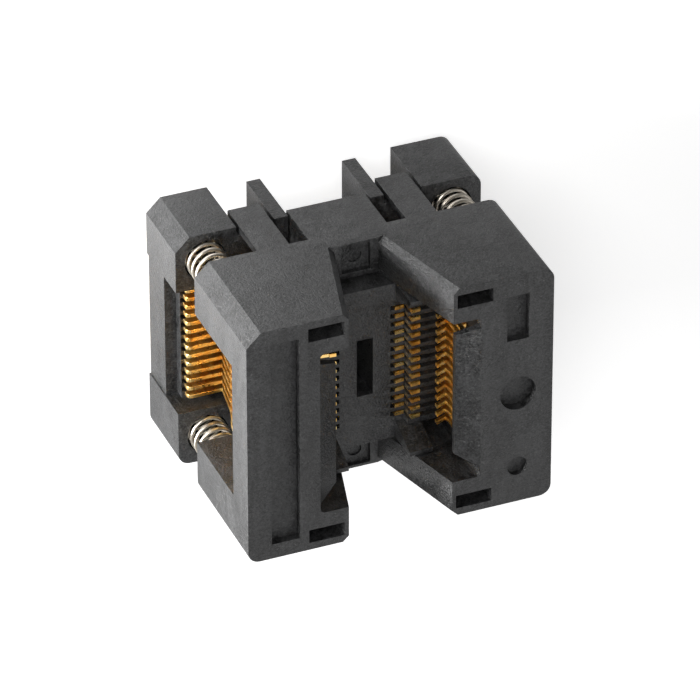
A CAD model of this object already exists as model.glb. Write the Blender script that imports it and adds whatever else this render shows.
import math

import bmesh
import bpy
from mathutils import Matrix, Vector


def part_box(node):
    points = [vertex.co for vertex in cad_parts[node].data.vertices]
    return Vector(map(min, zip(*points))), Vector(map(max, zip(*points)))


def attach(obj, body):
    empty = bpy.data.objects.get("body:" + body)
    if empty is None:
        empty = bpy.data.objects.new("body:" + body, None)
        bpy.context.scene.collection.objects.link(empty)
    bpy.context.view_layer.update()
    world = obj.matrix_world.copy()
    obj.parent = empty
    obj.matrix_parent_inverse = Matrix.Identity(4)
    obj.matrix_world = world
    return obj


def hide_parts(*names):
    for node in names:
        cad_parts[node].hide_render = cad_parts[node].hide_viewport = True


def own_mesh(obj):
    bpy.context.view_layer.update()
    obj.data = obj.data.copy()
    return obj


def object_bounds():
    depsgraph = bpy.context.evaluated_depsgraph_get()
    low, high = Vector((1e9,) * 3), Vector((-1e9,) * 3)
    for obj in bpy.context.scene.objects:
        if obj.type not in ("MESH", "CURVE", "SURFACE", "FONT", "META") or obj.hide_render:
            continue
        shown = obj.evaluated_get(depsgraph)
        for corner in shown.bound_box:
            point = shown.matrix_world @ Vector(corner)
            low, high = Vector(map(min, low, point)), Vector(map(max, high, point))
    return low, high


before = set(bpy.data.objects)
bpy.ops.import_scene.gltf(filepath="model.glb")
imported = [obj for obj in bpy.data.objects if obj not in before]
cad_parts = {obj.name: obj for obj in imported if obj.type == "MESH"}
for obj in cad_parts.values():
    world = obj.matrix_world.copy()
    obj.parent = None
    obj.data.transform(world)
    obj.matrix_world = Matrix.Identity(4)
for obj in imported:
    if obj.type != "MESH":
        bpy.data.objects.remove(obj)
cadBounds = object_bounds()
mm = 0.001


# a shader socket that can be added to, taken from and multiplied
class Wire:
    def __init__(self, shader, socket):
        self.shader = shader
        self.socket = socket

    def maths(self, operation, *values):
        return self.shader.node("Math", {"operation": operation}, dict(enumerate(values)))

    def __add__(self, other):
        return self.maths("ADD", self, other)

    def __sub__(self, other):
        return self.maths("SUBTRACT", self, other)

    def __mul__(self, other):
        return self.maths("MULTIPLY", self, other)

    def clamped(self):
        return self.shader.node("Clamp", {}, {"Value": self})

    def larger(self, other):
        return self.maths("MAXIMUM", self, other)


# a node tree and the one way to add a node to it
class Shader:
    def __init__(self, tree):
        self.tree = tree
        self.tree.nodes.clear()

    def node(self, kind, settings, inputs, output=0):
        made = self.tree.nodes.new("ShaderNode" + kind)
        for key, value in settings.items():
            setattr(made, key, value)
        for key, value in inputs.items():
            socket = made.inputs[key]
            if isinstance(value, Wire):
                self.tree.links.new(value.socket, socket)
            else:
                socket.default_value = value
        return Wire(self, made.outputs[output]) if made.outputs else None

    # object coordinates, stretched by a scale for each axis
    def place(self, scale=(1, 1, 1), turn=(0, 0, 0)):
        spot = self.node("TexCoord", {}, {}, "Object")
        return self.node("Mapping", {}, {"Vector": spot, "Scale": scale, "Rotation": turn})

    def noise(self, spot, scale, detail, roughness, distortion=0.0):
        return self.node("TexNoise", {}, {"Vector": spot, "Scale": scale, "Detail": detail,
                                          "Roughness": roughness, "Distortion": distortion})

    # numbers from one range to another, held inside it
    def span(self, value, low, high, toLow=0.0, toHigh=1.0):
        return self.node("MapRange", {"clamp": True}, {"Value": value, "From Min": low,
                         "From Max": high, "To Min": toLow, "To Max": toHigh})

    # each colour is a wire or three plain numbers
    def mixColour(self, factor, first, second):
        first, second = (tone if isinstance(tone, Wire) else (*tone, 1) for tone in (first, second))
        return self.node("Mix", {"data_type": "RGBA"}, {0: factor, 6: first, 7: second}, 2)


def newMaterial(name):
    material = bpy.data.materials.new(name)
    material.use_nodes = True
    return material, Shader(material.node_tree)


def newPiece(name, mesh, material, body, slot, *nodes):
    piece = bpy.data.objects.new(name, mesh)
    bpy.context.scene.collection.objects.link(piece)
    piece.data.materials.clear()
    piece.data.materials.append(material)
    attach(piece, body)
    if nodes:
        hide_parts(*nodes)
    return piece


def meshFrom(bm, name, smooth=True):
    mesh = bpy.data.meshes.new(name)
    bm.to_mesh(mesh)
    bm.free()
    mesh.polygons.foreach_set("use_smooth", [smooth] * len(mesh.polygons))
    return mesh


# the distance under which points merge, and the degrees under which faces join
cleanRule = {"merge": 0.0004 * mm, "flat": 0.6}


# a merged copy of a CAD node's mesh, with its flat areas made whole faces
def cleanCopy(node, rule):
    bm = bmesh.new()
    bm.from_mesh(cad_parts[node].data)
    bmesh.ops.remove_doubles(bm, verts=bm.verts, dist=rule["merge"])
    bmesh.ops.dissolve_limit(bm, angle_limit=math.radians(rule["flat"]), verts=bm.verts, edges=bm.edges)
    return bm


# rounds the sharp edges; a rule gives the share of the full radius for an edge
def roundEdges(piece, look, rule):
    mesh = piece.data
    bm = bmesh.new()
    bm.from_mesh(mesh)
    layer = bm.edges.layers.float.new("bevel_weight_edge")
    for edge in bm.edges:
        if len(edge.link_faces) == 2 and edge.calc_face_angle(0) > math.radians(look["sharp"]):
            edge[layer] = rule(edge)
    bm.to_mesh(mesh)
    bm.free()
    bevel = piece.modifiers.new("round", "BEVEL")
    bevel.width = look["radius"]
    bevel.segments = look["segments"]
    bevel.limit_method = "WEIGHT"
    bevel.use_clamp_overlap = True
    bevel.harden_normals = True
    bevel.miter_outer = "MITER_ARC"


# a flat outline in X and Z, thickened along Y and placed with its middle at Y = 0
def plate(bm, outline, thickness):
    rim = [bm.verts.new((x * mm, -thickness / 2 * mm, z * mm)) for x, z in outline]
    face = bm.faces.new(rim)
    grown = bmesh.ops.extrude_face_region(bm, geom=[face])["geom"]
    lifted = [item for item in grown if isinstance(item, bmesh.types.BMVert)]
    bmesh.ops.translate(bm, verts=lifted, vec=(0, thickness * mm, 0))
    bmesh.ops.recalc_face_normals(bm, faces=bm.faces)


def arc(centreX, centreZ, radius, first, last, steps):
    angles = [math.radians(first + (last - first) * step / steps) for step in range(steps + 1)]
    return [(centreX + radius * math.cos(a), centreZ + radius * math.sin(a)) for a in angles]


cameraView = {
    "place": (-0.1405, 0.24538, 0.35312), "up": (0.2096, 0.8345, -0.5096),
    "back": (-0.3153, 0.5511, 0.7726), "lens": 350.6, "sensor": 36, "clip": (0.01, 20)}


def makeCamera(view):
    data = bpy.data.cameras.new("camera")
    data.lens = view["lens"]
    data.sensor_width = view["sensor"]
    data.clip_start, data.clip_end = view["clip"]
    camera = bpy.data.objects.new("camera", data)
    back = Vector(view["back"]).normalized()
    right = Vector(view["up"]).cross(back).normalized()
    turn = Matrix((right, back.cross(right), back)).transposed()
    camera.matrix_world = Matrix.Translation(view["place"]) @ turn.to_4x4()
    bpy.context.scene.collection.objects.link(camera)
    bpy.context.scene.camera = camera


makeCamera(cameraView)
print("camera made")


# glass-filled moulding: fine pale specks, cloudy patches and flow swirls
# each noise has a scale, detail, roughness and, for two, distortion; bumpDeep is in millimetres
plasticTone = {
    "dark": (0.003, 0.003, 0.0031), "light": (0.042, 0.0424, 0.0432), "fleck": (0.11, 0.11, 0.108),
    "grain": (7000, 3, 0.6), "cloud": (2000, 4, 0.62, 1.6), "flow": (330, 3, 0.55, 3.0),
    "flecks": (5200, 2, 0.7), "flowStretch": (1, 0.3, 0.8), "flowTurn": (0.2, 0, 0.5),
    "grainSpan": (0.3, 0.7), "cloudSpan": (0.3, 0.7), "flowSpan": (0.35, 0.65), "fleckSpan": (0.6, 0.8),
    "grainShare": 1.1, "cloudShare": 0.9, "flowShare": 0.6, "roughFlow": 0.5, "roughSpan": (0.5, 1.0),
    "rough": (0.27, 0.42), "bump": 0.9, "bumpDeep": 0.06, "bumpCloud": 1.2}


def makePlastic(tone):
    material, shader = newMaterial("mouldedPlastic")
    spot = shader.place()
    swept = shader.place(tone["flowStretch"], tone["flowTurn"])
    grain = shader.noise(spot, *tone["grain"])
    cloud = shader.noise(spot, *tone["cloud"])
    flow = shader.noise(swept, *tone["flow"])
    flecks = shader.noise(spot, *tone["flecks"])
    shade = shader.span(cloud, *tone["cloudSpan"], -1, 1) * tone["cloudShare"] \
        + shader.span(flow, *tone["flowSpan"], -1, 1) * tone["flowShare"] \
        + shader.span(grain, *tone["grainSpan"], -1, 1) * tone["grainShare"]
    body = shader.mixColour((shade * 0.5 + 0.5).clamped(), tone["dark"], tone["light"])
    colour = shader.mixColour(shader.span(flecks, *tone["fleckSpan"]), body, tone["fleck"])
    rough = shader.span(cloud + flow * tone["roughFlow"], *tone["roughSpan"], *tone["rough"])
    bump = shader.node("Bump", {}, {"Strength": tone["bump"], "Distance": tone["bumpDeep"] * mm,
                                    "Height": grain + cloud * tone["bumpCloud"]})
    surface = shader.node("BsdfPrincipled", {}, {"Base Color": colour, "Roughness": rough, "Normal": bump})
    shader.node("OutputMaterial", {}, {"Surface": surface})
    return material


# drawn or plated metal: slow tint changes and fine surface lines
goldTone = {
    "dark": (0.95, 0.52, 0.12), "light": (1.0, 0.77, 0.34), "fine": (6000, 3, 0.6),
    "soft": (900, 2, 0.5), "fineSpan": (0.3, 0.7), "softSpan": (0.35, 0.65), "rough": (0.24, 0.38),
    "bump": 0.1, "bumpDeep": 0.01}
steelTone = {
    "dark": (0.5, 0.45, 0.38), "light": (0.72, 0.67, 0.58), "fine": (7000, 3, 0.6),
    "soft": (1100, 2, 0.5), "fineSpan": (0.3, 0.7), "softSpan": (0.35, 0.65), "rough": (0.26, 0.4),
    "bump": 0.15, "bumpDeep": 0.01}


def makeMetal(name, tone):
    material, shader = newMaterial(name)
    spot = shader.place()
    fine = shader.noise(spot, *tone["fine"])
    soft = shader.noise(spot, *tone["soft"])
    colour = shader.mixColour(shader.span(soft, *tone["softSpan"]), tone["dark"], tone["light"])
    rough = shader.span(fine, *tone["fineSpan"], *tone["rough"])
    bump = shader.node("Bump", {}, {"Strength": tone["bump"], "Distance": tone["bumpDeep"] * mm,
                                    "Height": fine})
    surface = shader.node("BsdfPrincipled", {}, {"Base Color": colour, "Roughness": rough,
                                                 "Normal": bump, "Metallic": 1.0})
    shader.node("OutputMaterial", {}, {"Surface": surface})
    return material


plastic = makePlastic(plasticTone)
gold = makeMetal("goldPlate", goldTone)
steel = makeMetal("springWire", steelTone)
print("materials made")


# edges sharper than this many degrees are rounded; a rim edge reaches beyond rimX or rimY
shellLook = {"radius": 0.3 * mm, "segments": 3, "sharp": 25, "small": 0.22,
             "rimX": 10.6 * mm, "rimY": 8.7 * mm, "topGap": 0.01 * mm}


# the rim of the top face is rounded in full, other edges by a small share
def shellRule(height, look):
    def rule(edge):
        first, second = (vert.co for vert in edge.verts)
        onTop = min(first.z, second.z) > height - look["topGap"]
        farX = max(abs(first.x), abs(second.x)) > look["rimX"]
        farY = max(abs(first.y), abs(second.y)) > look["rimY"]
        return 1.0 if onTop and (farX or farY) else look["small"]
    return rule


def makeShell(name, node, body, look):
    piece = newPiece(name, meshFrom(cleanCopy(node, cleanRule), name), plastic, body, "plastic", node)
    roundEdges(piece, look, shellRule(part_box(node)[1].z, look))


makeShell("coverShell", "cover", "cover", shellLook)
makeShell("baseBody", "base", "base", shellLook)
makeShell("seatBlock", "package_seat", "base", shellLook)
print("plastic pieces made")


# sizes in millimetres and angles in degrees, for the row at +X
stripLook = {
    "perRow": 14, "thickness": 0.27, "armThickness": 0.262, "edge": 0.03, "edgeSegments": 2,
    "onFace": 0.0001, "armSteps": 18, "bendSteps": 8, "tipSteps": 6,
    "blockIn": 6.1, "blockOut": 9.75, "blockTop": 4.55, "blockLow": 2.9, "floor": 1.31, "foot": 7.3,
    "tipIn": 0.3, "tipLow": 3.95, "tipRound": 0.3, "tails": (6.35, 8.89), "tailWidth": 0.4, "tailEnd": -3,
    "pointIn": 0.1, "pointUp": 0.25, "linkThick": 0.7, "bendIn": 0.8, "bendOut": 1,
    "fingerIn": 2.065, "fingerWidth": 0.6, "fingerEnd": 2.74, "fingerTop": 11.55, "fingerLow": 1.5,
    "fingerNeck": 0.9, "fingerSlope": 0.3, "fingerLip": 0.08,
    "beakIn": 2.9, "beakWidth": 0.65, "beakTop": 12.32, "beakLow": 11.1, "valley": 10.8, "neck": 0.5,
    "beakSlope": 0.08, "valleyFrom": 1.5, "leverOut": 0.3,
    "prongIn": 4.2, "prongTop": 13.58, "prongThick": 0.36, "headIn": 4.99, "headWidth": 0.33,
    "headStep": 0.07, "prongRoot": 0.1, "armRoot": 0.3, "armFoot": 0.8, "armFrom": -35, "armTo": 60,
    "headTop": 15.4, "lever": 5.34, "armOut": 8.45, "armRadius": 3.2, "armWidth": 0.5, "armMiddle": 9.55,
    "pressAxis": 0.07, "pressKeep": 0.82}


def fingerOutline(s, tail):
    foot = s["fingerLow"] + s["linkThick"]
    outer, inner = s["fingerIn"], s["fingerIn"] + s["fingerWidth"]
    half, point = s["tailWidth"] / 2, s["tailEnd"] + s["pointUp"]
    side = s["blockOut"] - s["tipIn"]
    corner, bendIn, bendOut = s["tipRound"], s["bendIn"], s["bendOut"]
    return [
        (tail - half, s["floor"]), (tail - half, point), (tail - half + s["pointIn"], s["tailEnd"]),
        (tail + half - s["pointIn"], s["tailEnd"]), (tail + half, point), (tail + half, s["floor"]),
        (side, s["floor"]), (side, s["tipLow"]), (s["blockOut"], s["tipLow"]),
        *arc(s["blockOut"] - corner, s["blockTop"] - corner, corner, 0, 90, s["tipSteps"]),
        (s["foot"], s["blockTop"]), (s["blockIn"], s["blockLow"]), (s["blockIn"], foot),
        *arc(inner + bendIn, foot + bendIn, bendIn, -90, -180, s["bendSteps"]),
        (inner, s["fingerTop"] - s["fingerNeck"]), (s["fingerEnd"], s["fingerTop"] - s["fingerSlope"]),
        (s["fingerEnd"], s["fingerTop"] - s["fingerLip"]), (outer, s["fingerTop"]),
        *arc(outer + bendOut, s["fingerLow"] + bendOut, bendOut, 180, 270, s["bendSteps"]),
        (s["blockIn"], s["fingerLow"]), (s["blockIn"], s["floor"])]


def armOutline(s):
    centre = s["armOut"] - s["armRadius"]
    head, out = s["headIn"], s["headIn"] + s["headWidth"]
    prong, thick = s["prongTop"], s["prongThick"]
    beak, beakOut = s["beakIn"], s["beakIn"] + s["beakWidth"]
    start, end, steps = s["armFrom"], s["armTo"], s["armSteps"]
    return [
        (s["foot"], s["blockTop"] - s["armRoot"]),
        *arc(centre, s["armMiddle"], s["armRadius"], start, end, steps),
        (out, prong - 2 * thick), (out, s["headTop"]), (head, s["headTop"]), (head, prong),
        (head - s["headStep"], prong - thick), (s["prongIn"], prong), (s["prongIn"], prong - thick),
        (head + s["prongRoot"], prong - 2 * thick), (s["lever"], s["valley"]),
        (beak + s["valleyFrom"] * s["beakWidth"], s["valley"]), (beakOut, s["beakTop"] - s["beakSlope"]),
        (beak, s["beakTop"]), (beak, s["beakLow"]), (beakOut, s["valley"] - s["neck"]),
        (s["lever"] + s["leverOut"], s["valley"] - s["neck"]),
        *arc(centre, s["armMiddle"], s["armRadius"] - s["armWidth"], end, start, steps),
        (s["foot"] - s["armFoot"], s["blockLow"])]


def stripMesh(name, outline, side, thickness, look):
    bm = bmesh.new()
    plate(bm, [(x * side, z) for x, z in outline], thickness)
    flat = look["onFace"] * mm
    rims = [edge for edge in bm.edges if abs(edge.verts[0].co.y - edge.verts[1].co.y) < flat]
    bmesh.ops.bevel(bm, geom=rims, offset=look["edge"] * mm, segments=look["edgeSegments"],
                    affect="EDGES", profile=0.5, material=-1, clamp_overlap=True)
    bmesh.ops.recalc_face_normals(bm, faces=bm.faces)
    return meshFrom(bm, name, False)


def makeContacts(look):
    for side, letter in ((-1, "l"), (1, "r")):
        arm = stripMesh("arm", armOutline(look), side, look["armThickness"], look)
        fingers = [stripMesh("finger", fingerOutline(look, tail), side, look["thickness"], look)
                   for tail in look["tails"]]
        for number in range(1, look["perRow"] + 1):
            node = "contact_%s%02d" % (letter, number)
            low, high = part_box(node)
            shift = Matrix.Translation((0, (low.y + high.y) / 2, 0))
            lower = fingers[number % 2 == 0].copy()
            lower.transform(shift)
            newPiece("finger_%s%02d" % (letter, number), lower, gold, "base", "gold", node)
            upper = arm.copy()
            upper.transform(shift)
            piece = newPiece("arm_%s%02d" % (letter, number), upper, gold, "base", "gold")
            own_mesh(piece)


makeContacts(stripLook)
print("contacts made")


# outer and wire in millimetres; deadPitch is the rise of a closed end turn in wire widths
springLook = {"count": 4, "outer": 2.7, "wire": 0.28, "sides": 10, "perTurn": 28, "turns": 16,
              "deadTurns": 1.2, "deadPitch": 1.04}


def coil(bm, ring, centre, turns, rise, look):
    steps = round(turns * look["perTurn"])
    made = bmesh.ops.spin(bm, geom=ring, cent=centre, axis=(0, 0, 1), dvec=(0, 0, rise / steps),
                          angle=turns * 2 * math.pi, steps=steps, use_merge=False)
    return [item for item in made["geom_last"] if isinstance(item, bmesh.types.BMEdge)]


def makeSpring(node, look):
    low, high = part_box(node)
    middle = (low + high) / 2
    wire = look["wire"] * mm
    reach = (look["outer"] / 2 - look["wire"] / 2) * mm
    bm = bmesh.new()
    bmesh.ops.create_circle(bm, cap_ends=False, radius=wire / 2, segments=look["sides"])
    bmesh.ops.rotate(bm, verts=bm.verts, cent=(0, 0, 0), matrix=Matrix.Rotation(math.pi / 2, 3, "X"))
    bmesh.ops.translate(bm, verts=bm.verts, vec=(middle.x + reach, middle.y, low.z + wire / 2))
    ring = list(bm.edges)
    bmesh.ops.contextual_create(bm, geom=ring)
    deadRise = look["deadTurns"] * wire * look["deadPitch"]
    liveTurns = look["turns"] - 2 * look["deadTurns"]
    liveRise = high.z - low.z - wire - 2 * deadRise
    centre = (middle.x, middle.y, 0)
    for turns, rise in ((look["deadTurns"], deadRise), (liveTurns, liveRise), (look["deadTurns"], deadRise)):
        ring = coil(bm, ring, centre, turns, rise, look)
    bmesh.ops.contextual_create(bm, geom=ring)
    bmesh.ops.recalc_face_normals(bm, faces=bm.faces)
    name = "coil" + node[-1]
    piece = newPiece(name, meshFrom(bm, name), steel, "base", "spring_steel", node)
    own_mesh(piece)


for number in range(1, springLook["count"] + 1):
    makeSpring("return_spring_%d" % number, springLook)
print("springs made")


# the camera sees lit paper and a glow; in reflections the glow goes from the first level of
# "mirrored" to the second across the patch, whose two ends are in metres
floorLook = {"paper": (0.8, 0.8, 0.8, 1), "glow": 0.7,
             "mirrored": (1.8, 0.2), "patch": (-0.016, -0.009), "patchTurn": (0, 0, 0.44), "size": 3.0}
# in reflections the level goes from the first of "mirrored" to the second towards the bright side
worldLook = {"seen": 1.0, "mirrored": (0.15, 1.1), "light": 0.04,
             "brightTowards": (0.32, -0.55, 0.77), "spread": (0.5, 0.88)}


# one level where the camera sees it, one in reflections, and one as a source of light
def seenLevel(shader, seen, mirrored, light):
    camera = shader.node("LightPath", {}, {}, "Is Camera Ray")
    glossy = shader.node("LightPath", {}, {}, "Is Glossy Ray")
    through = shader.node("LightPath", {}, {}, "Is Transmission Ray")
    mirror = glossy.larger(through)
    return camera * (seen - light) + mirror * (mirrored - light) + light


def makeFloor(look):
    bm = bmesh.new()
    bmesh.ops.create_grid(bm, x_segments=1, y_segments=1, size=look["size"])
    bmesh.ops.translate(bm, verts=bm.verts, vec=(0, 0, cadBounds[0][2]))
    floor = bpy.data.objects.new("floor", meshFrom(bm, "floor"))
    bpy.context.scene.collection.objects.link(floor)
    material, shader = newMaterial("paleFloor")
    paper = shader.node("BsdfDiffuse", {}, {"Color": look["paper"]})
    across = shader.node("SeparateXYZ", {}, {"Vector": shader.place(turn=look["patchTurn"])})
    mirrored = shader.span(across, *look["patch"], *look["mirrored"])
    level = seenLevel(shader, look["glow"], mirrored, 0)
    glow = shader.node("Emission", {}, {"Color": (1, 1, 1, 1), "Strength": level})
    lit = shader.node("AddShader", {}, {0: paper, 1: glow})
    shader.node("OutputMaterial", {}, {"Surface": lit})
    floor.data.materials.append(material)


def makeWorld(look):
    world = bpy.data.worlds.new("studio")
    bpy.context.scene.world = world
    world.use_nodes = True
    shader = Shader(world.node_tree)
    aim = shader.node("VectorMath", {"operation": "DOT_PRODUCT"},
                      {0: shader.place(), 1: look["brightTowards"]}, "Value")
    mirrored = shader.span(aim, *look["spread"], *look["mirrored"])
    strength = seenLevel(shader, look["seen"], mirrored, look["light"])
    sky = shader.node("Background", {}, {"Color": (1, 1, 1, 1), "Strength": strength})
    shader.node("OutputWorld", {}, {"Surface": sky})


objectMiddle = Vector((0, 0, 8 * mm))
# direction from the object's middle, distance and size in metres, and watts
lampLook = {
    "key": {"towards": (-0.97, 0.13, 0.1), "distance": 0.12, "size": 0.05, "watts": 0.34},
    "top": {"towards": (-0.35, 0.5, 0.8), "distance": 0.2, "size": 0.07, "watts": 0.19}}


def makeLamps(lamps, middle):
    for name, look in lamps.items():
        data = bpy.data.lights.new(name + "Lamp", "AREA")
        data.shape = "SQUARE"
        data.size = look["size"]
        data.energy = look["watts"]
        lamp = bpy.data.objects.new(name + "Lamp", data)
        away = Vector(look["towards"]).normalized()
        lamp.location = middle + away * look["distance"]
        lamp.rotation_euler = away.to_track_quat("Z", "Y").to_euler()
        bpy.context.scene.collection.objects.link(lamp)


makeFloor(floorLook)
makeWorld(worldLook)
makeLamps(lampLook, objectMiddle)
bpy.context.scene.view_settings.view_transform = "Standard"
print("stage made")
